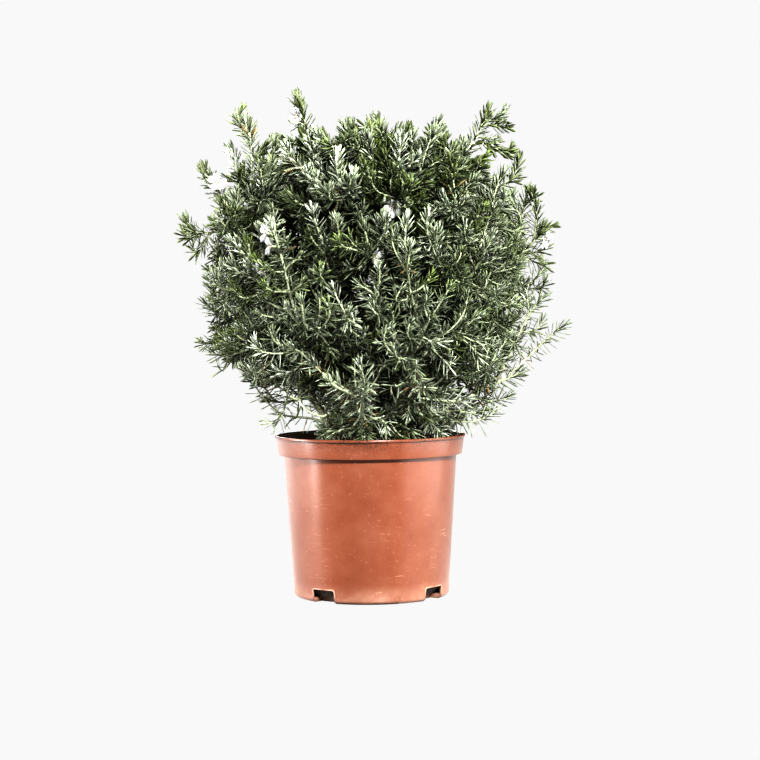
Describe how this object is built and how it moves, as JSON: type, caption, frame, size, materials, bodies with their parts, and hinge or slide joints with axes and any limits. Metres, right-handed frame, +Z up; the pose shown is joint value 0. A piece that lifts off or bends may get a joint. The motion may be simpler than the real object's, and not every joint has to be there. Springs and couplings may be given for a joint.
{
  "type": "potted coastal rosemary",
  "caption": "Bushy coastal rosemary with whorled grey-green leaves and small white blooms, standing in a round tapered plastic nursery pot.",
  "frame": {"origin": "middle of the pot's foot, on the surface that it stands on", "axes": "+Z up the pot's axis, -Y towards the side that the picture shows, +X to its right"},
  "size_m": [0.3957, 0.3336, 0.5016],
  "materials": {
    "pot_plastic": "satin moulded",
    "soil": "loose crumbs",
    "foliage": "matt leaf",
    "petals": "matt petal"
  },
  "bodies": {
    "root": {"pot": "pot_plastic", "soil": "soil", "leafy_stem_01": "foliage", "leafy_stem_02": "foliage", "leafy_stem_03": "foliage", "leafy_stem_04": "foliage", "leafy_stem_05": "foliage", "leafy_stem_06": "foliage", "leafy_stem_07": "foliage", "leafy_stem_08": "foliage", "leafy_stem_09": "foliage", "leafy_stem_10": "foliage", "leafy_stem_11": "foliage", "leafy_stem_12": "foliage", "leafy_stem_13": "foliage", "leafy_stem_14": "foliage", "leafy_stem_15": "foliage", "leafy_stem_16": "foliage", "bloom_01": "petals", "bloom_02": "petals", "bloom_03": "petals", "bloom_04": "petals", "bloom_05": "petals", "bloom_06": "petals", "bloom_07": "petals", "bloom_08": "petals", "bloom_09": "petals", "bloom_10": "petals", "bloom_11": "petals", "bloom_12": "petals", "bloom_13": "petals"}
  },
  "joints": []
}
